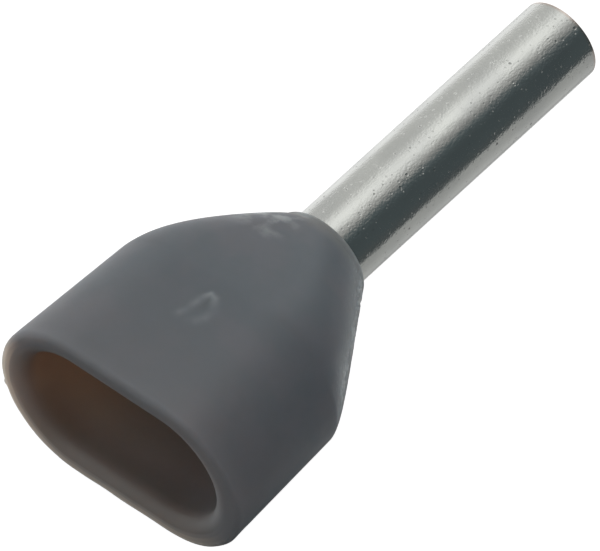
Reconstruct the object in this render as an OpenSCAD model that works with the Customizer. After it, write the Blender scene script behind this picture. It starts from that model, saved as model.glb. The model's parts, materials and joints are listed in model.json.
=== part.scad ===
// Twin wire ferrule: a belled crimp tube held in a moulded collar with an
// oblong entry for two stranded conductors.
//
// Each piece is drawn along +X, from the collar's mouth at x = 0 to the tube's
// open tip. at_rest() then lays the ferrule down as it comes to rest on a
// table: on the shoulder of one broad face and on the lower edge of the tip.
// The origin is on the table, in the middle of the ferrule's outline.

/* [Crimp tube] */
// Outer diameter of the tube
tube_d = 2.0; // [1.7:0.05:2.5]
// Sheet thickness of the tube
tube_wall = 0.12; // [0.08:0.01:0.2]
// Length of tube that stands out of the collar
exposed_len = 8.0; // [6:0.5:12]
// Length of tube gripped in the collar's neck
grip_len = 0.9; // [0.6:0.1:1.2]
// How far the sheet thickens along the gripped length, to wedge in the neck
grip_swell = 0.02; // [0.01:0.01:0.05]
// Length of the bell at the tube's rear end
bell_len = 1.1; // [0.6:0.1:1.3]
// How far the bell spreads past the tube, each side
bell_flare = 0.35; // [0.2:0.05:0.45]
// Broken edge at the cut tip
tip_break = 0.03; // [0:0.01:0.04]

/* [Collar] */
// Length of the collar, from mouth to neck end
collar_len = 6.8; // [5.6:0.1:8.4]
// Width of the mouth, across both conductors
mouth_w = 6.75; // [5.6:0.05:8.1]
// Thickness of the mouth, across one conductor
mouth_t = 4.12; // [3.8:0.02:5]
// Wall of the barrel
collar_wall = 0.57; // [0.35:0.01:0.68]
// Draft of each narrow side, from mouth to shoulder
side_draft = 0.2; // [0:0.05:0.4]
// Swell of each broad face, from mouth to shoulder
face_swell = 0.04; // [0:0.02:0.1]
// Radius on the outer and inner edge of the rim
rim_round = 0.14; // [0.06:0.02:0.16]

/* [Taper and neck] */
// Length from the shoulder to the neck end
taper_len = 3.3; // [2.8:0.1:4]
// Wall of the neck around the tube
neck_wall = 0.24; // [0.18:0.02:0.4]
// Radius on the neck's end
neck_round = 0.2; // [0.08:0.02:0.3]
// How full the broad faces stay along the taper, where 1 is straight
face_fullness = 1.3; // [1:0.1:2.2]
// How soon the corners tighten past the shoulder
corner_rate = 4.5; // [1:0.5:6]

/* [Gate mark] */
// Distance of the gate mark from the mouth
gate_x = 2.55; // [1.8:0.05:3]
// Diameter of the gate mark
gate_d = 0.8; // [0.5:0.1:1.2]
// Depth of the gate mark
gate_depth = 0.04; // [0.02:0.01:0.1]

/* [Fit] */
// Radial gap between the tube and its seat in the collar
seat_clearance = 0.01; // [0:0.005:0.03]

/* [Hidden] */
$fn = 64;

arc_steps = 10;      // segments in each quarter of a lofted ring
taper_steps = 12;    // rings along the taper
edge_steps = 4;      // rings around a rounded edge
land = 0.01;         // least flat between two quarter arcs
cut_over = 0.5;      // how far a cut runs past the face it opens
funnel_least = 0.4;  // least length of the funnel behind the bell
bell_ledge = 0.05;   // step between the funnel's end and the bell's seat
seat_lead = 0.2;     // how far the bell's seat runs back into the funnel

overall_len = collar_len + exposed_len;
tube_r = tube_d / 2;
bore_r = tube_r - tube_wall;
grip_r = tube_r + grip_swell;
bell_r = tube_r + bell_flare;
bell_x = collar_len - grip_len - bell_len;   // rear end of the tube
grip_x = collar_len - grip_len;              // where the bell meets the gripped length

neck_d = tube_d + 2 * neck_wall;
edge_r = min(neck_round, neck_wall - land);  // the neck's end round stays in its wall
shoulder_x = collar_len - taper_len;
shoulder_w = mouth_w - 2 * side_draft;
shoulder_t = mouth_t + 2 * face_swell;
funnel_x = min(shoulder_x, bell_x - funnel_least);   // where the funnel starts inside
funnel_d = 2 * (bell_r + seat_clearance + bell_ledge);

// Outline of the barrel at a distance x from the mouth
function barrel_w(x) = mouth_w - 2 * side_draft * x / shoulder_x;
function barrel_t(x) = mouth_t + 2 * face_swell * x / shoulder_x;

// Outline of the taper, where u runs from 0 at the shoulder to 1 at the neck
function taper_x(u) = shoulder_x + u * (collar_len - edge_r - shoulder_x);
function taper_w(u) = shoulder_w + (neck_d - shoulder_w) * u;
function taper_t(u) = neck_d + (shoulder_t - neck_d)
    * pow(1 - pow(u, face_fullness), 1 / face_fullness);
function taper_r(u) = neck_d / 2 + (shoulder_t - neck_d) / 2 * pow(1 - u, corner_rate);

// One closed ring of a loft: a rectangle w wide and t thick with corners of
// radius r, facing along X. A radius of half the thickness gives an oblong.
function ring(x, w, t, r) =
    let (c = min(r, w / 2 - land, t / 2 - land))
    [for (quarter = [0:3], k = [0:arc_steps])
        let (a = 90 * (quarter + k / arc_steps),
             side = (quarter == 0 || quarter == 3) ? 1 : -1,
             face = quarter < 2 ? 1 : -1)
        [x, side * (w / 2 - c) + c * cos(a), face * (t / 2 - c) + c * sin(a)]];

// Rings of the collar's outer skin, from the rim to the neck end
outer_rings = concat(
    [for (k = [0:edge_steps])
        let (a = 90 * k / edge_steps,
             x = rim_round * (1 - cos(a)),
             inset = 2 * rim_round * (1 - sin(a)),
             t = barrel_t(x) - inset)
        [x, barrel_w(x) - inset, t, t / 2]],
    [for (k = [0:taper_steps])
        let (u = k / taper_steps)
        [taper_x(u), taper_w(u), taper_t(u), taper_r(u)]],
    [for (k = [1:edge_steps])
        let (a = 90 * k / edge_steps,
             d = neck_d - 2 * edge_r * (1 - cos(a)))
        [collar_len - edge_r * (1 - sin(a)), d, d, d / 2]]);

// Rings of the wire entry inside, from past the mouth to the tube's bell
entry_rings = concat(
    [let (t = mouth_t - 2 * (collar_wall - rim_round))
        [-cut_over, mouth_w - 2 * (collar_wall - rim_round), t, t / 2]],
    [for (k = [0:edge_steps])
        let (a = 90 * k / edge_steps,
             x = rim_round * (1 - cos(a)),
             inset = 2 * (collar_wall - rim_round * (1 - sin(a))),
             t = barrel_t(x) - inset)
        [x, barrel_w(x) - inset, t, t / 2]],
    [let (t = barrel_t(funnel_x) - 2 * collar_wall)
        [funnel_x, barrel_w(funnel_x) - 2 * collar_wall, t, t / 2]],
    [[bell_x, funnel_d, funnel_d, funnel_d / 2]]);

// How the ferrule lies. The table touches the tip's lower edge and the part of
// the collar that stands out furthest below the line to it.
tip_x = overall_len - tip_break;             // the tube's lowest edge when it lies down
tilt = max([for (s = outer_rings) atan((s[2] / 2 - tube_r) / (tip_x - s[0]))]);
rest_lift = tip_x * sin(tilt) + tube_r * cos(tilt);
back_x = min([for (s = outer_rings) s[0] * cos(tilt) - s[2] / 2 * sin(tilt)]);
front_x = max(tip_x * cos(tilt) + tube_r * sin(tilt),
              overall_len * cos(tilt) + (tube_r - tip_break) * sin(tilt));

module at_rest() {
    translate([-(back_x + front_x) / 2, 0, rest_lift])
        rotate([0, tilt, 0])
            children();
}

// Solid through a list of [x, width, thickness, corner radius] stations
module loft(stations) {
    rings = [for (s = stations) ring(s[0], s[1], s[2], s[3])];
    n = len(rings[0]);
    last = len(rings) - 1;
    points = [for (r = rings, p = r) p];
    skin = [for (i = [0:last - 1], j = [0:n - 1])
        let (a = i * n + j, b = i * n + (j + 1) % n, c = b + n, d = a + n)
        each [[a, d, c], [a, c, b]]];
    polyhedron(points, concat(
        skin,
        [[for (j = [0:n - 1]) j]],
        [[for (j = [n - 1:-1:0]) last * n + j]]));
}

// Solid of revolution along +X from a list of [x, radius] points
module turned(profile) {
    rotate([0, 90, 0])
        rotate_extrude()
            polygon([for (p = profile) [p[1], p[0]]]);
}

module crimp_tube() {
    color([0.78, 0.79, 0.78])
        at_rest()
            turned([
                [bell_x, bell_r],
                [grip_x, grip_r],
                [collar_len, tube_r],
                [tip_x, tube_r],
                [overall_len, tube_r - tip_break],
                [overall_len, bore_r],
                [grip_x, bore_r],
                [bell_x, bell_r - tube_wall]]);
}

// The space that the tube takes out of the collar
module tube_seat() {
    turned([
        [bell_x - seat_lead, 0],
        [bell_x - seat_lead, bell_r + seat_clearance],
        [bell_x, bell_r + seat_clearance],
        [grip_x, grip_r + seat_clearance],
        [collar_len, tube_r + seat_clearance],
        [collar_len + cut_over, tube_r + seat_clearance],
        [collar_len + cut_over, 0]]);
}

module gate_mark() {
    face_z = barrel_t(gate_x) / 2;
    translate([gate_x, 0, face_z - gate_depth])
        cylinder(d = gate_d, h = gate_depth + cut_over);
}

module entry_collar() {
    color([0.38, 0.39, 0.41])
        at_rest()
            difference() {
                loft(outer_rings);
                loft(entry_rings);
                tube_seat();
                gate_mark();
            }
}

crimp_tube();
entry_collar();
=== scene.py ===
# %% [markdown]
# # A twin wire ferrule
#
# A wire ferrule is a thin tinned tube that is crimped over stranded wire. A twin
# ferrule takes two wires: they go side by side into an oblong plastic collar,
# which funnels them into the tube. This file gives the ferrule its looks. The
# frame holds the real sizes, the place of each piece and how the ferrule lies.

# %% Load the frame
import json
import math

import bmesh
import bpy
from mathutils import Matrix, Quaternion, Vector, geometry, noise


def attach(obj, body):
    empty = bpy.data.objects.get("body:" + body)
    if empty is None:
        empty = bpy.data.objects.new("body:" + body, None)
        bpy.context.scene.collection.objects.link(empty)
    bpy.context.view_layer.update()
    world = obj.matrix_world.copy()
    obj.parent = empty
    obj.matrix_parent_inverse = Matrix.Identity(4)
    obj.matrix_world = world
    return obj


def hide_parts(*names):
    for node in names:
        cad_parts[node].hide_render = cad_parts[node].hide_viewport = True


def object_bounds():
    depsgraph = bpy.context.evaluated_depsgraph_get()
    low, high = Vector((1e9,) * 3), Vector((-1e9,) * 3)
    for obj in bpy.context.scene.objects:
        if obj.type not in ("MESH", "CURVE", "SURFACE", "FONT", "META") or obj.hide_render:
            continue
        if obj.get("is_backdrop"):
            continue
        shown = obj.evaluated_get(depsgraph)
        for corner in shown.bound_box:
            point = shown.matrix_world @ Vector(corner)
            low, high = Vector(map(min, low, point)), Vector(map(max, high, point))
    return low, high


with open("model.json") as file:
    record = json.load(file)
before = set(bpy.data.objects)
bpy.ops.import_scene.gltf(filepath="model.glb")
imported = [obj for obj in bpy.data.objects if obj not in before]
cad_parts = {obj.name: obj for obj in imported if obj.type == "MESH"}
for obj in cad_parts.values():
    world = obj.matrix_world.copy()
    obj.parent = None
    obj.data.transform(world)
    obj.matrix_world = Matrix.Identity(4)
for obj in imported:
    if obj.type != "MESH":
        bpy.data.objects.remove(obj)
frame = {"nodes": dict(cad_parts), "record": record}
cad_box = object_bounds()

MM = 0.001
print("pieces in the frame:", sorted(frame["nodes"]))

# %% [markdown]
# ## The lie of the ferrule
#
# The ferrule lies tilted, on the collar's shoulder and on the tip of the tube.
# It could be modelled where it lies, but every ring would then need slanted
# coordinates. Instead each piece is modelled upright in plain millimetres, with
# +X along the tube and x = 0 at the collar's mouth, and one matrix lays the
# finished mesh down. The frame's record says where the mouth is and which way
# the tube points, so the matrix comes from there.

# %% Matrix that lays a piece down
mounts = {mount["name"]: mount for mount in frame["record"]["mounts"]}
mouth = Vector(mounts["wire_entry"]["pos_m"])
along = Vector(mounts["terminal_pin"]["axis"]).normalized()
across = Vector((0, 1, 0))
upward = along.cross(across)
lay_down = Matrix.Translation(mouth) @ Matrix((along, across, upward)).transposed().to_4x4()
tilt = math.asin(-along.z)
print(f"mouth at {[round(c / MM, 3) for c in mouth]} mm, tilted {math.degrees(tilt):.2f} degrees")

# %% [markdown]
# ## Real sizes
#
# All sizes are in millimetres. The tube is 2 mm across, for two wires of
# 0.75 mm2. The collar is moulded around its flared rear end.

# %% Sizes of the tube and the collar
TUBE_R = 1.0
TUBE_WALL = 0.12
TUBE_OUT = 8.0          # length that stands out of the collar
GRIP_LEN = 0.9          # length held in the collar's neck
GRIP_SWELL = 0.02
BELL_LEN = 1.1
BELL_FLARE = 0.35
TIP_BREAK = 0.03

COLLAR_LEN = 6.8
MOUTH_W = 6.75
MOUTH_T = 4.12
COLLAR_WALL = 0.57
SIDE_DRAFT = 0.2
FACE_SWELL = 0.04
RIM_ROUND = 0.14

TAPER_LEN = 3.3
NECK_WALL = 0.24
NECK_ROUND = 0.2
FULLNESS = 1.3          # how full the broad faces stay along the taper
CORNER_RATE = 4.5       # how soon the corners tighten past the shoulder
SEAT_GAP = 0.01         # between the tube and its seat in the collar
SEAT_LEAD = 0.2         # how far the seat runs back into the funnel
FUNNEL_LEDGE = 0.1      # step between the funnel's small end and the seat

neck_d = 2 * (TUBE_R + NECK_WALL)
shoulder_x = COLLAR_LEN - TAPER_LEN
shoulder_w = MOUTH_W - 2 * SIDE_DRAFT
shoulder_t = MOUTH_T + 2 * FACE_SWELL
overall = COLLAR_LEN + TUBE_OUT
grip_x = COLLAR_LEN - GRIP_LEN
bell_x = grip_x - BELL_LEN
bell_r = TUBE_R + BELL_FLARE
print(f"overall length {overall:.1f} mm, shoulder {shoulder_w:.2f} x {shoulder_t:.2f} mm")

# %% [markdown]
# ## Camera
#
# The camera looks down on the mouth and along the tube, from a long way off
# through a long lens, so the ferrule hardly narrows with distance. It aims at
# the middle of the ferrule, and a small roll tips the picture a little.

# %% Camera
AIM = (-1.246, 0.106, 1.667)
CAMERA_DISTANCE = 317.13
HEADING = 43.89
ELEVATION = 54.257
ROLL = -7.22
LENS = 881.0
SENSOR_W = 36.0

heading, elevation = math.radians(HEADING), math.radians(ELEVATION)
back = Vector((
    -math.sin(heading) * math.cos(elevation),
    -math.cos(heading) * math.cos(elevation),
    math.sin(elevation)))
camera = bpy.data.objects.new("camera", bpy.data.cameras.new("camera"))
camera.data.lens = LENS
camera.data.sensor_width = SENSOR_W
camera.data.clip_start = 0.05
camera.data.clip_end = 5.0
camera.location = (Vector(AIM) + back * CAMERA_DISTANCE) * MM
camera.rotation_mode = "QUATERNION"
roll = Quaternion((0, 0, 1), math.radians(ROLL))
camera.rotation_quaternion = (-back).to_track_quat("-Z", "Y") @ roll
bpy.context.scene.collection.objects.link(camera)
bpy.context.scene.camera = camera
print("camera at", [round(c / MM, 1) for c in camera.location], "mm")

# %% [markdown]
# ## The collar's skin
#
# The collar is one injection moulding. At the mouth its section is an oblong:
# two half circles joined by flats. Past the shoulder the section narrows and its
# corners tighten until it is the round neck. It could be sculpted from a cube,
# but a mould maker thinks in sections, so the collar is lofted here: one ring of
# edges is extruded from section to section, outside from the neck to the mouth,
# round the rim, and back inside to the neck. The last ring meets the first, which
# closes the wall.

# %% Section shapes
RING_POINTS = 320       # points round each section, a multiple of 4
FINE_STEP = 0.07        # distance between sections on the outside
COARSE_STEP = 0.2       # and inside, where nothing is seen close up
EDGE_STEP = 0.035       # distance between sections on the rim
EDGE_STEPS = 7          # sections round a rounded edge
LIP_INSET = 0.24        # how far in the rim's outer lip reaches
CORE_SHIFT = 0.06       # the mould's core sat a little off the middle
END_EXTRA = 0.12        # the wall is a little thicker at both narrow ends
INNER_ROUND = 0.26      # the rim is rounder towards the wires


def barrel(x, inset=0.0):
    """Section of the barrel: distance, width, thickness, corner radius, sideways shift."""
    core_side = max(0.0, inset - RIM_ROUND) / (COLLAR_WALL - RIM_ROUND)
    width = MOUTH_W - 2 * SIDE_DRAFT * x / shoulder_x - 2 * inset - 2 * END_EXTRA * core_side
    thick = MOUTH_T + 2 * FACE_SWELL * x / shoulder_x - 2 * inset
    return x, width, thick, thick / 2, CORE_SHIFT * core_side


def taper(u):
    """Section of the taper, where u runs from 0 at the shoulder to 1 at the neck."""
    x = shoulder_x + u * (COLLAR_LEN - NECK_ROUND - shoulder_x)
    width = shoulder_w + (neck_d - shoulder_w) * u
    thick = neck_d + (shoulder_t - neck_d) * (1 - u ** FULLNESS) ** (1 / FULLNESS)
    corner = neck_d / 2 + (shoulder_t - neck_d) / 2 * (1 - u) ** CORNER_RATE
    return x, width, thick, min(corner, thick / 2), 0.0


def disc(x, radius):
    """Round section of the neck, the funnel's end and the tube's seat."""
    return x, 2 * radius, 2 * radius, radius, 0.0


def between(start, end, step):
    """Numbers from start to end about one step apart, without the first."""
    count = max(1, round(abs(end - start) / step))
    return [start + (end - start) * k / count for k in range(1, count + 1)]


QUARTER = between(0, math.pi / 2, math.pi / 2 / EDGE_STEPS)
print("section at the mouth: x, width, thickness, corner, shift =", barrel(0))

# %% Sections from the neck, along the outside, round the rim and back inside
seat_r = TUBE_R + SEAT_GAP
neck_flat_r = neck_d / 2 - NECK_ROUND
funnel_x = shoulder_x
lead_x = bell_x - SEAT_LEAD
wide_end = barrel(funnel_x, COLLAR_WALL)
small_end = disc(lead_x, bell_r + SEAT_GAP + FUNNEL_LEDGE)

skin = {
    "neck_end": [disc(COLLAR_LEN, seat_r), disc(COLLAR_LEN, neck_flat_r)] + [
        disc(COLLAR_LEN - NECK_ROUND * (1 - math.cos(a)), neck_flat_r + NECK_ROUND * math.sin(a))
        for a in QUARTER],
    "taper": [taper(u) for u in between(1, 0, FINE_STEP / TAPER_LEN)],
    "barrel": [barrel(x) for x in between(shoulder_x, RIM_ROUND, FINE_STEP)],
    "rim_outside": [
        barrel(RIM_ROUND * (1 - math.sin(a)), RIM_ROUND * (1 - math.cos(a))) for a in QUARTER],
    "rim_lip": [barrel(0, inset) for inset in between(RIM_ROUND, LIP_INSET, EDGE_STEP)],
    "rim_face": [
        barrel(0, inset) for inset in between(LIP_INSET, COLLAR_WALL - INNER_ROUND, EDGE_STEP)],
    "rim_inside": [
        barrel(INNER_ROUND * (1 - math.cos(a)), COLLAR_WALL - INNER_ROUND * (1 - math.sin(a)))
        for a in QUARTER],
    "entry": [barrel(x, COLLAR_WALL) for x in between(INNER_ROUND, funnel_x, COARSE_STEP)],
    "funnel": [
        tuple(a + (b - a) * share for a, b in zip(wide_end, small_end))
        for share in between(0, 1, COARSE_STEP / (lead_x - funnel_x))],
    "seat": [
        disc(lead_x, bell_r + SEAT_GAP), disc(bell_x, bell_r + SEAT_GAP),
        disc(grip_x, TUBE_R + GRIP_SWELL + SEAT_GAP), disc(COLLAR_LEN, seat_r)]}
for stretch, rings in skin.items():
    start, end = rings[0][0], rings[-1][0]
    print(f"{stretch:12} {len(rings):3} sections from x = {start:.2f} to {end:.2f} mm")

# %% [markdown]
# A section is set out from the middle of its narrow side. Each point keeps its
# share of the way round, and walks that share of the outline: up the straight,
# round the corner and along the flat. The points stay evenly spaced that way, so
# small marks can be pressed into the flats as well. Each vertex also keeps three
# notes, which the plastic's colour reads later: how far inside it is, how near the
# rim's edge, and how scraped.

# %% Places on a section
def on_section(turn, width, thick, corner):
    """Place on a rounded rectangle, for a turn of 0 to 1 round it."""
    quarter = int(turn * 4) % 4
    share = turn * 4 - int(turn * 4)
    if quarter % 2:
        share = 1 - share
    rise, flat = thick / 2 - corner, width / 2 - corner
    arc = corner * math.pi / 2
    way = share * (rise + arc + flat)
    if way < rise:
        y, z = width / 2, way
    elif way < rise + arc:
        a = (way - rise) / corner
        y, z = flat + corner * math.cos(a), rise + corner * math.sin(a)
    else:
        y, z = flat - (way - rise - arc), thick / 2
    return (y if quarter in (0, 3) else -y), (z if quarter < 2 else -z)


print("the mouth's narrow side is at y, z =", on_section(0, *barrel(0)[1:4]), "mm")

# %% Loft a skin from its sections
NOTES = {
    "inside": {"rim_inside": 0.25, "entry": 1.0, "funnel": 1.0, "seat": 1.0},
    "rim_edge": {"rim_outside": 1.0, "rim_lip": 0.6, "rim_face": 0.24, "rim_inside": 0.14},
    "scraped": {}}
WELD = 1e-5


def loft(bm, skin, points):
    """Extrude one ring of edges through all the sections of a skin, and weld its ends."""
    turn = bm.verts.layers.float.new("turn")
    notes = {name: bm.verts.layers.float.new(name) for name in NOTES}
    ring = bmesh.ops.create_circle(bm, segments=points, radius=1.0)["verts"]
    for k, v in enumerate(ring):
        v[turn] = k / points
    edges = bm.edges[:]
    first = True
    for stretch, rings in skin.items():
        for x, width, thick, corner, aside in rings:
            if not first:
                grown = bmesh.ops.extrude_edge_only(bm, edges=edges)["geom"]
                ring = [g for g in grown if isinstance(g, bmesh.types.BMVert)]
                new = set(ring)
                edges = [
                    g for g in grown
                    if isinstance(g, bmesh.types.BMEdge) and set(g.verts) <= new]
            first = False
            for v in ring:
                y, z = on_section(v[turn], width, thick, corner)
                v.co = (x, y + aside, z)
                for name, shares in NOTES.items():
                    v[notes[name]] = shares.get(stretch, 0.0)
    bmesh.ops.remove_doubles(bm, verts=bm.verts, dist=WELD)
    bmesh.ops.recalc_face_normals(bm, faces=bm.faces)
    bm.verts.layers.float.remove(bm.verts.layers.float["turn"])
    print("lofted", len(bm.verts), "vertices, open edges:", sum(e.is_boundary for e in bm.edges))


print("notes on each vertex:", list(NOTES))

# %% Lay a finished piece down
def finish_mesh(bm, name, material, node):
    """Turn a bmesh into a smooth piece that lies in place and stands for a CAD node."""
    bmesh.ops.scale(bm, vec=(MM, MM, MM), verts=bm.verts)
    bmesh.ops.transform(bm, matrix=lay_down, verts=bm.verts)
    bmesh.ops.recalc_face_normals(bm, faces=bm.faces)
    for face in bm.faces:
        face.smooth = True
    mesh = bpy.data.meshes.new(name)
    bm.to_mesh(mesh)
    bm.free()
    piece = bpy.data.objects.new(name, mesh)
    bpy.context.scene.collection.objects.link(piece)
    mesh.materials.append(material)
    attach(piece, "root")
    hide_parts(node)
    print(name, "has", sum(len(p.vertices) - 2 for p in mesh.polygons), "triangles")


print("each piece is laid down by", round(math.degrees(tilt), 2), "degrees")

# %% [markdown]
# ## Shader sums
#
# A finish is built from small sums of noise and masks. Wiring each one by hand
# hides the idea, so one small class wraps a node's output and turns plain
# arithmetic into Math nodes. Every other node comes from its one method.

# %% A wire that can be added and multiplied
class Wire:
    """An output of a node. Sums of wires add Math nodes to the same material."""

    def __init__(self, tree, socket=None):
        self.tree = tree
        self.socket = socket

    def node(self, kind, settings, inputs, output=0):
        """Add a node: first its settings, then the values or wires of its sockets."""
        made = self.tree.nodes.new("ShaderNode" + kind)
        for name, value in settings.items():
            if name == "stops":
                ramp = made.color_ramp.elements
                while len(ramp) < len(value):
                    ramp.new(1.0)
                for stop, (place, colour) in zip(ramp, value):
                    stop.position = place
                    stop.color = colour
            else:
                setattr(made, name, value)
        for name, value in inputs.items():
            if isinstance(value, Wire):
                self.tree.links.new(value.socket, made.inputs[name])
            else:
                made.inputs[name].default_value = value
        return Wire(self.tree, made.outputs[output])

    def sum(self, operation, *others):
        """A Math node on this wire and the others."""
        return self.node("Math", {"operation": operation}, dict(enumerate((self, *others))))

    def __add__(self, other):
        return self.sum("ADD", other)

    def __sub__(self, other):
        return self.sum("SUBTRACT", other)

    def __rsub__(self, other):
        return (self * -1.0).sum("ADD", other)

    def __mul__(self, other):
        return self.sum("MULTIPLY", other)

    __radd__ = __add__
    __rmul__ = __mul__

    def step(self, low, high):
        """A smooth step from 0 at low to 1 at high."""
        return self.node("MapRange", {"interpolation_type": "SMOOTHSTEP"},
                         {"Value": self, "From Min": low, "From Max": high})

    def blend(self, start, end):
        """A colour between two colours, with this wire as the share of the second."""
        return self.node("Mix", {"data_type": "RGBA"}, {0: self, 6: start, 7: end}, 2)


def grey(level):
    """A grey as a colour socket's value."""
    return (level, level, level, 1.0)


print("a wire can", [name for name in vars(Wire) if not name.startswith("_")])

# %% [markdown]
# ## Grey collar plastic
#
# The collar is polypropylene, coloured a cool grey. Its skin is satin and very
# faintly clouded where the melt flowed. Paint would stop at the surface, but
# light goes a little way into this plastic, and red light goes furthest, so the
# inside of the collar glows a warm brown. The shader's subsurface part does that,
# and the colour paints more of that glow as well: a warm glow inside the entry,
# strongest on the side towards the light, and a tan glow on the rim's thin lower
# edge. Just inside the lower lip, painted shade darkens the colour.
# Scraped plastic turns pale: along the rough parting line, at the neck and on the
# lip of the gate mark. Along the parting line the pale strip is also a painted
# highlight of the light that grazes the narrow sides. Those marks are masks that
# lighten the colour. The masks are kept apart from the finish, so that each can be
# looked at on its own.

# %% Helpers for a material
def new_material(name):
    """A material with a bare shader: the material, a wire to add nodes with, the shader."""
    material = bpy.data.materials.new(name)
    material.use_nodes = True
    tree = material.node_tree
    tree.nodes.clear()
    out = tree.nodes.new("ShaderNodeOutputMaterial")
    shader = tree.nodes.new("ShaderNodeBsdfPrincipled")
    tree.links.new(shader.outputs[0], out.inputs["Surface"])
    return material, Wire(tree), shader


def plug(wire, shader, name):
    """Feed a wire into a socket of a shader."""
    wire.tree.links.new(wire.socket, shader.inputs[name])


def upright_place(wire):
    """Place on the ferrule in millimetres, with X along it and 0 at the mouth."""
    place = wire.node("TexCoord", {}, {}, 3)
    return wire.node(
        "Mapping", {"vector_type": "TEXTURE"},
        {"Vector": place, "Location": mouth, "Rotation": (0, tilt, 0), "Scale": (MM, MM, MM)})


def noise_on(place, scale, detail=2.0, stretch=None):
    """Noise of about scale lumps a millimetre, drawn out along an axis if stretch is given."""
    if stretch:
        place = place.node("VectorMath", {"operation": "MULTIPLY"}, {0: place, 1: stretch})
    return place.node("TexNoise", {}, {"Vector": place, "Scale": scale, "Detail": detail})


def split(place):
    """The X, Y and Z of a place as three wires."""
    return [place.node("SeparateXYZ", {}, {"Vector": place}, k) for k in range(3)]


def count_nodes(material):
    """Say how many nodes a finished material holds."""
    print(material.name, "has", len(material.node_tree.nodes), "nodes")


print("finishes are set out in millimetres from the mouth, at", [round(c, 5) for c in mouth], "m")

# %% Colours of the collar
COOL_GREY = (0.166, 0.190, 0.216, 1)
CLOUD_GREY = (0.190, 0.201, 0.227, 1)
PALE_GREY = (0.62, 0.66, 0.68, 1)
WARM_GREY = (0.30, 0.285, 0.265, 1)
PAINTED_GLOW_INSIDE = (0.39, 0.35, 0.315, 1)
LIP_SHADE_GREY = (0.085, 0.085, 0.085, 1)
PAINTED_GLOW_TAN = (0.86, 0.73, 0.62, 1)
MOUTH_GREY = (0.206, 0.206, 0.224, 1)
print("the collar goes from", COOL_GREY[:3], "to", CLOUD_GREY[:3])


# %% Masks of the collar
PARTING_Z = 0.15        # height of the rough strip above the collar's middle
SCRAPE_START, SCRAPE_FULL = COLLAR_LEN - 1.9, COLLAR_LEN - 0.9


def note(wire, name):
    """One of the notes that the loft left on each vertex."""
    return wire.node("Attribute", {"attribute_name": name}, {}, 2)


def parting_strip_and_highlight(place):
    """The rough narrow sides of the taper, where the mould's halves meet, 0 to 1: a mask for
    their pale flash and for a painted highlight along them.
    """
    x, _, z = split(place)
    strip = (z - PARTING_Z).sum("ABSOLUTE").step(1.2, 0.1)
    return strip * x.step(shoulder_x - 0.1, shoulder_x + 0.7)


def scrapes_on_neck(place):
    """Soft scrapes on the upper side of the taper, close to the neck, 0 to 1."""
    x, y, z = split(place)
    zone = x.step(SCRAPE_START, SCRAPE_FULL) * z.step(0.1, 0.6) * y.step(-0.1, 0.5)
    return zone * noise_on(place, 2.3, 5.0, (0.9, 0.9, 1.4)).step(0.42, 0.70)


def entry_glow_and_lip_shade(colour, place, inside):
    """The wire entry's colour: a painted warm glow, strongest at the end that faces the light,
    and painted shade on its lower lip.
    """
    x, y, z = split(place)
    # Painted glow: the entry is coloured warmer, as if lit through its wall, most on the side
    # towards the light
    colour = ((0.14 + 0.55 * y.step(-1.5, 2.5)) * inside).blend(colour, PAINTED_GLOW_INSIDE)
    # Painted shade: just inside the lower lip the colour is darkened
    lip_shade_mask = inside.step(0.0, 0.25) * x.step(1.3, 0.3) * z.step(-0.3, -1.4)
    return (0.55 * lip_shade_mask).blend(colour, LIP_SHADE_GREY)


print("scrapes start", round(SCRAPE_START, 2), "mm from the mouth")


# %% Collar plastic
def collar_plastic():
    """Cool grey satin plastic, with the marks that moulding and handling leave, and painted glow
    and shade.
    """
    material, wire, shader = new_material("collar_plastic")
    place = upright_place(wire)
    x, y, z = split(place)
    inside, rim_edge, scraped = [note(wire, name) for name in ("inside", "rim_edge", "scraped")]
    outside = 1 - inside

    clouds = noise_on(place, 0.7, 3.0).step(0.35, 0.65)
    colour = clouds.blend(COOL_GREY, CLOUD_GREY)
    colour = (0.5 * x.step(3.5, 0.5)).blend(colour, MOUTH_GREY)
    # The neck's end is a warmer, lighter grey: partly its own colour and partly painted light
    # that lifts the shade on its rounded end
    neck = x.step(COLLAR_LEN - 0.6, COLLAR_LEN - 0.1)
    colour = (0.6 * neck).blend(colour, WARM_GREY)
    colour = entry_glow_and_lip_shade(colour, place, inside)

    # The parting strip is paler, partly for its rough flash and partly as a painted highlight
    # where light grazes the narrow sides
    line = parting_strip_and_highlight(place) * outside
    colour = (0.56 * scraped + 0.56 * line * (0.5 + 0.5 * clouds)).blend(colour, PALE_GREY)
    scrapes = scrapes_on_neck(place)
    colour = (0.5 * scrapes * outside).blend(colour, PALE_GREY)

    # Painted glow: the rim's thin lower edge is coloured pale tan, as if light shone through it
    glow = rim_edge * z.step(1.3, 0.2) * y.step(-3.1, -1.9)
    colour = (0.65 * glow).blend(colour, PAINTED_GLOW_TAN)
    plug(colour, shader, "Base Color")

    satin = noise_on(place, 3.0, 3.0)
    plug(0.42 + 0.14 * satin + 0.1 * scraped, shader, "Roughness")

    skin_grain = noise_on(place, 14.0, 3.0)
    ripple = noise_on(place, 1.6, 2.0)
    height = 0.10 * skin_grain + 0.5 * ripple + 0.25 * scrapes
    plug(wire.node("Bump", {}, {"Height": height, "Strength": 0.35, "Distance": 0.03 * MM}),
         shader, "Normal")
    shader.inputs["Subsurface Weight"].default_value = 1.0
    shader.inputs["Subsurface Radius"].default_value = (1.0, 0.8, 0.68)
    shader.inputs["Subsurface Scale"].default_value = 2.2 * MM
    count_nodes(material)
    return material


grey_plastic = collar_plastic()

# %% [markdown]
# ## Tin plate
#
# The tube is copper with a bright tin plating. A plain mirror would look like
# chrome. The plating is almost that, but a fine grain frays the edges of what it
# reflects, most on the side that was handled, and small dull specks and a few dark
# pits are scattered over it. Copper shows faintly at the cut tip.

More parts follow.
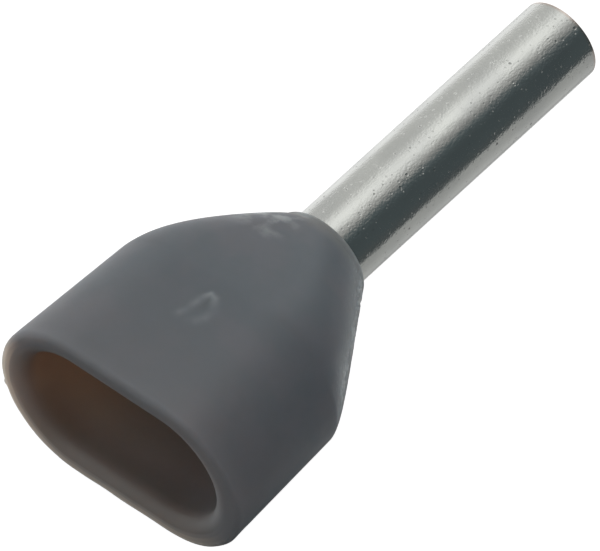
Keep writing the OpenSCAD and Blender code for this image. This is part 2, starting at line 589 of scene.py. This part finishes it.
# %% Colours and pits of the tin
BRIGHT_TIN = (0.73, 0.74, 0.715, 1)
DULL_TIN = (0.66, 0.67, 0.655, 1)
PIT_GREY = (0.10, 0.10, 0.10, 1)
COPPER = (0.60, 0.40, 0.32, 1)


def pits(place, scale, size, share):
    """Round pits, one in each of some of the cells that are scale to a millimetre."""
    cells = {"Vector": place, "Scale": scale}
    luck = split(place.node("TexVoronoi", {}, cells, 1))[0]
    there = luck.step(1 - share, 1.05 - 0.4 * share)
    return there * place.node("TexVoronoi", {}, cells).step(size, 0.3 * size)


print("the tin goes from", BRIGHT_TIN[:3], "to", DULL_TIN[:3])


# %% Tin plate
def tin_plate():
    """Bright tin with a handled side, dull specks, dark pits and a copper tip."""
    material, wire, shader = new_material("tin_plate")
    place = upright_place(wire)
    x, y, z = split(place)
    dull = noise_on(place, 1.4, 3.0, (0.5, 1.0, 1.0)).step(0.4, 0.75)
    colour = dull.blend(BRIGHT_TIN, DULL_TIN)

    deep = pits(place, 3.4, 0.15, 0.55)
    small = pits(place, 12.0, 0.4, 0.3)
    colour = (0.5 * deep + 0.08 * small).blend(colour, PIT_GREY)
    tip = x.step(overall - 0.12, overall - 0.01)
    colour = (0.5 * tip).blend(colour, COPPER)
    plug(colour, shader, "Base Color")
    plug(0.13 + 0.08 * dull + 0.25 * deep + 0.3 * small, shader, "Roughness")

    grain = noise_on(place, 9.0, 3.0)
    fine_grain = noise_on(place, 20.0, 4.0, (0.8, 1.0, 1.0))
    handled = z.step(0.15, 0.8) * noise_on(place, 1.3, 2.0).step(0.35, 0.62)
    height = 0.4 * grain + (0.24 + 0.46 * handled) * (fine_grain - small) - 0.7 * deep
    plug(wire.node("Bump", {}, {"Height": height, "Strength": 0.5, "Distance": 0.02 * MM}),
         shader, "Normal")
    shader.inputs["Metallic"].default_value = 1.0
    count_nodes(material)
    return material


bright_plate = tin_plate()

# %% [markdown]
# ## The collar
#
# The lofted skin is too perfect for a moulding that costs a cent. Where the melt
# came in, the gate left a shallow dimple with an uneven raised lip. The mould's
# halves part along the narrow sides, and there the taper is rough with flash. The
# rim has a small tooth of flash and is not quite straight. The marks could be a
# bump in the material, but real relief also shows on the outline. So each is a
# soft push on the vertices near it, on a mesh that is cut finer at the gate and
# along the parting line. Where a mark is torn or rough, the vertex notes how
# scraped it is.

# %% Marks of the mould
GATE_LIP = (                # a torn ring on the broad face: x, y and how much of it is left
    (2.27, 0.18, 0.55), (2.48, 0.11, 0.3), (2.82, 0.08, 0.65), (3.07, -0.02, 1.0),
    (3.04, -0.15, 0.8), (2.91, -0.27, 0.5), (2.73, -0.37, 0.2), (2.50, -0.34, 0.4),
    (2.33, -0.22, 0.3), (2.23, -0.13, 0.1))
LIP_HEIGHT, LIP_WIDTH = 0.03, 0.075
DIMPLE_SPOT = (2.70, -0.13)
DIMPLE_DEPTH, DIMPLE_SIZE = 0.02, 0.2
FLASH_WIDTH = 0.5           # half width of the rough strip on each narrow side
FLASH_HEIGHT = 0.045
TOOTH_SPOT = (0.08, 3.29, -0.59)
TOOTH_SIZE, TOOTH_HEIGHT = 0.07, 0.06
RIM_WANDER = 0.012
GATE_REACH = 0.75           # how far from the dimple the mesh is cut finer
FLASH_MIDDLE = 0.22         # the flash leans a little to the upper half of the mould
FLASH_REACH = 0.7
LIP_SCRAPED = 0.5           # how pale the torn lip is, where flash is 1
NOISE_SEED = 1

# Vector noise starts from the clock unless it has a seed, and the lip would change each time
noise.seed_set(NOISE_SEED)
print("gate mark", DIMPLE_SPOT[0], "mm from the mouth, flash", FLASH_HEIGHT, "mm high")


# %% Shapes of the marks
def bell(distance, width):
    """A soft bump: 1 at no distance, about a third at one width."""
    return math.exp(-(distance / width) ** 2)


def ramp(value, low, high):
    """A smooth step from 0 at low to 1 at high."""
    share = min(1.0, max(0.0, (value - low) / (high - low)))
    return share * share * (3 - 2 * share)


def gate_lip(place):
    """How much of the torn lip of the gate mark is at a place, 0 to about 1."""
    spot = place.xy + 0.03 * noise.noise_vector(place * 4.0).xy
    lip = 0.0
    for (*start, start_share), (*end, end_share) in zip(GATE_LIP, GATE_LIP[1:]):
        way = min(1.0, max(0.0, geometry.intersect_point_line(spot, start, end)[1]))
        share = start_share + (end_share - start_share) * way
        distance = (spot - Vector(start).lerp(Vector(end), way)).length
        lip = max(lip, share * bell(distance, LIP_WIDTH * (1.7 - 0.7 * share)))
    return lip * (1 + 0.4 * noise.noise(place * 6.0))


def flash(place):
    """How much flash is at a place along the parting line of the taper, 0 to 1."""
    along_taper = ramp(place.x, shoulder_x - 0.1, shoulder_x + 0.6)
    along_taper *= 1 - ramp(place.x, COLLAR_LEN - 0.3, COLLAR_LEN - 0.1)
    strip = bell(place.z - FLASH_MIDDLE, FLASH_WIDTH) * along_taper
    rough = 0.8 * noise.noise(place * 5.0) + noise.noise(place * 14.0)
    return strip * ramp(rough, 0.22, 0.45)


def rim_push(place):
    """Height of the tooth and of the slow wander along the rim's outer edge."""
    tooth = TOOTH_HEIGHT * bell((place - Vector(TOOTH_SPOT)).length, TOOTH_SIZE)
    wander = RIM_WANDER * noise.noise(place * 1.7) * (1 - ramp(place.x, 0.1, 0.7))
    return tooth + wander


peak = gate_lip(Vector((3.07, -0.02, 2.1)))
print("at its peak the gate's lip is", round(peak, 2), "of its height")


# %% Loft the collar and cut it finer at its marks
def near_gate(place):
    """Whether a place is on the upper broad face, round the gate mark."""
    return place.z > MOUTH_T / 2 - 0.1 and (place.xy - Vector(DIMPLE_SPOT)).length < GATE_REACH


def near_flash(place):
    """Whether a place is on a narrow side of the taper."""
    return abs(place.z - PARTING_Z) < FLASH_REACH and shoulder_x < place.x < COLLAR_LEN - 0.3


bm = bmesh.new()
loft(bm, skin, RING_POINTS)
inside = bm.verts.layers.float["inside"]
scraped = bm.verts.layers.float["scraped"]
for near, cuts in ((near_gate, 2), (near_flash, 1)):
    faces = [f for f in bm.faces if near(f.calc_center_median()) and not f.verts[0][inside]]
    edges = list({e for f in faces for e in f.edges})
    bmesh.ops.subdivide_edges(bm, edges=edges, cuts=cuts, use_grid_fill=True)
bmesh.ops.poke(bm, faces=[f for f in bm.faces if len(f.verts) > 4])
print("cut finer to", len(bm.verts), "vertices")

# %% Press the marks into the outside
bm.normal_update()
for v in bm.verts:
    if v[inside]:
        continue
    push = rim_push(v.co)
    if near_gate(v.co):
        lip = gate_lip(v.co)
        dimple = bell((v.co.xy - Vector(DIMPLE_SPOT)).length, DIMPLE_SIZE)
        v[scraped] = LIP_SCRAPED * lip
        push += LIP_HEIGHT * lip - DIMPLE_DEPTH * dimple
    else:
        v[scraped] = flash(v.co)
        push += FLASH_HEIGHT * v[scraped]
    v.co += v.normal * push
finish_mesh(bm, "collar_skin", grey_plastic, "entry_collar")

# %% [markdown]
# ## The tube
#
# The tube starts as a thin strip that is drawn round and plated. Its front end is
# cut square and lightly broken at the edge, and its rear end is belled, so that the
# strands run in and the collar can't slip off. A cylinder could be given a wall and
# pulled into shape, but the whole piece is round, so its half section is drawn once
# and spun round the axis.

# %% Spin the tube
SPIN_STEPS = 128
bm = bmesh.new()
tip_round = [
    (overall - TIP_BREAK * (1 - math.sin(a)), TUBE_R - TIP_BREAK * (1 - math.cos(a)))
    for a in [0.0] + QUARTER]
profile = [
    (bell_x, bell_r),
    (grip_x, TUBE_R + GRIP_SWELL),
    (COLLAR_LEN, TUBE_R)] + tip_round + [
    (overall, TUBE_R - TUBE_WALL),
    (grip_x, TUBE_R - TUBE_WALL),
    (bell_x, bell_r - TUBE_WALL)]
corners = [bm.verts.new((x, 0, r)) for x, r in profile]
line = [bm.edges.new((a, b)) for a, b in zip(corners, corners[1:] + corners[:1])]
bmesh.ops.spin(bm, geom=corners + line, axis=(1, 0, 0), cent=(0, 0, 0),
               angle=2 * math.pi, steps=SPIN_STEPS, use_merge=True)
bmesh.ops.remove_doubles(bm, verts=bm.verts, dist=WELD)
finish_mesh(bm, "tin_tube", bright_plate, "crimp_tube")

# %% [markdown]
# ## Studio
#
# The ferrule lies on a plain pale sheet in a light tent. A lamp could be placed
# for each highlight, but a bright tube shows the shape of every lamp, so the
# tent itself is the light: one soft band of brightness runs overhead from the
# back, and the room in front is dark. The band is set out round the tube's axis,
# so the brightness depends only on how far round the tube a direction lies. The
# tent is dimmer towards the mouth's end.

# %% Light tent
def surroundings(name, levels, level_way, dim_way, dim):
    """World light that changes along one direction, and dims to a share towards another."""
    world = bpy.data.worlds.new(name)
    world.use_nodes = True
    world.node_tree.nodes.clear()
    wire = Wire(world.node_tree)
    look = wire.node("TexCoord", {}, {}, 0)
    toward = wire.node("VectorMath", {"operation": "DOT_PRODUCT"}, {0: look, 1: level_way}, 1)
    stops = [
        ((where + 1) / 2, (*(level * part for part in tint), 1)) for where, level, tint in levels]
    glow = wire.node("ValToRGB", {"stops": stops}, {"Fac": toward * 0.5 + 0.5})
    aside = wire.node("VectorMath", {"operation": "DOT_PRODUCT"}, {0: look, 1: dim_way}, 1)
    background = world.node_tree.nodes.new("ShaderNodeBackground")
    out = world.node_tree.nodes.new("ShaderNodeOutputWorld")
    plug((1 - (1 - dim) * aside.step(-0.3, 0.7)).blend(grey(0.0), glow), background, "Color")
    world.node_tree.links.new(background.outputs[0], out.inputs["Surface"])
    return world


# The side of the tube that is turned away from the tent's bright band
to_camera = back - along * back.dot(along)
dark_side = along.cross(to_camera).normalized()
NEUTRAL, TEAL = (1.0, 1.005, 0.985), (0.80, 1.0, 1.06)
TENT_LEVELS = [
    (-1.0, 1.4, NEUTRAL), (-0.87, 0.50, NEUTRAL), (-0.78, 0.62, NEUTRAL), (-0.68, 0.86, NEUTRAL),
    (-0.56, 1.00, NEUTRAL), (-0.44, 0.90, NEUTRAL), (-0.33, 0.68, NEUTRAL),
    (-0.2, 0.44, NEUTRAL), (-0.05, 0.28, NEUTRAL), (0.1, 0.12, TEAL), (0.25, 0.085, TEAL),
    (0.4, 0.075, TEAL), (0.75, 0.08, TEAL), (1.0, 0.09, NEUTRAL)]
MOUTH_DIM = 0.66        # share of the light that is left at the ferrule's mouth end
scene = bpy.context.scene
scene.view_settings.view_transform = "Standard"
scene.world = surroundings("light_tent", TENT_LEVELS, dark_side, -along, MOUTH_DIM)
print("dark side of the tent:", [round(c, 2) for c in dark_side])

# %% [markdown]
# ## Sheets of paper
#
# One wide sheet is the floor. It is bright paper, so that it stays white behind
# the ferrule, but lamps and gloss don't see it, or the tube's dark side would be
# washed out. A second, smaller sheet lies lower, beside the tube. It does the
# work of a studio's bounce card: it lights the collar's lower faces and
# gives the tube its pale lower edge. The camera doesn't see it.

# %% Sheets
FLOOR_SIZE, FLOOR_GLOW, FLOOR_SHADE = 2.0, 0.97, 0.35
BOUNCE_SIZE, BOUNCE_SHADE = 0.14, 0.8
BOUNCE_MIDDLE = (0.070, 0.048, -0.010)


def sheet(name, size, middle, shade):
    """A level square sheet of paper in the studio, with a wire and the shader for its glow."""
    bm = bmesh.new()
    bmesh.ops.create_grid(bm, x_segments=1, y_segments=1, size=size / 2)
    bmesh.ops.translate(bm, verts=bm.verts, vec=middle)
    mesh = bpy.data.meshes.new(name)
    bm.to_mesh(mesh)
    bm.free()
    made = bpy.data.objects.new(name, mesh)
    scene.collection.objects.link(made)
    material, wire, shader = new_material(name)
    shader.inputs["Base Color"].default_value = grey(shade)
    shader.inputs["Roughness"].default_value = 1.0
    shader.inputs["Specular IOR Level"].default_value = 0.0
    shader.inputs["Emission Strength"].default_value = 1.0
    mesh.materials.append(material)
    made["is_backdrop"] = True
    print(name, "is", size, "m wide")
    return made, wire, shader


def brighter_behind(wire):
    """Glow that is strongest just behind the ferrule's line, with a painted shadow that takes it
    to nothing along the line under the tube.
    """
    forward = split(wire.node("TexCoord", {}, {}, 3))[1]
    rise = forward.step(-0.016, 0.026) * 0.62
    fall = forward.step(0.03, 0.09) * 0.28
    # Painted shadow: the glow drops to nothing along the ferrule's line, under the tube
    return (rise - fall) * forward.sum("ABSOLUTE").step(0.0, 0.0025)


floor, _, paper = sheet("pale_sheet", FLOOR_SIZE, (0, 0, 0), FLOOR_SHADE)
paper.inputs["Emission Color"].default_value = grey(FLOOR_GLOW)
floor.visible_glossy = False
floor.visible_diffuse = False
bounce, wire, paper = sheet("bounce_sheet", BOUNCE_SIZE, BOUNCE_MIDDLE, BOUNCE_SHADE)
plug(brighter_behind(wire), paper, "Emission Color")
bounce.visible_camera = False
bounce.visible_shadow = False

# %% [markdown]
# ## Fill lamp
#
# A weak square lamp in front of the collar lifts the faces that the tent leaves
# dark. A stronger tent would lift them too, but it would grey the tube's dark
# side. The lamp is kept out of gloss, so the tube doesn't show its square.

# %% Fill lamp
FILL_SIZE, FILL_POWER = 60 * MM, 0.0105
FILL_WAY, FILL_DISTANCE = (0.25, -1.0, 0.35), 80 * MM

fill = bpy.data.objects.new("fill_lamp", bpy.data.lights.new("fill_lamp", "AREA"))
fill.data.size = FILL_SIZE
fill.data.energy = FILL_POWER
fill_way = Vector(FILL_WAY).normalized()
fill.location = fill_way * FILL_DISTANCE
fill.rotation_mode = "QUATERNION"
fill.rotation_quaternion = (-fill_way).to_track_quat("-Z", "Y")
fill.visible_glossy = False
scene.collection.objects.link(fill)
print("fill lamp at", [round(c / MM) for c in fill.location], "mm")

# %% Print both boxes and finish
visual_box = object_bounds()
for name, (low, high) in {"frame": cad_box, "looks": visual_box}.items():
    print(name, [round(c / MM, 3) for c in (*low, *high)], "mm")
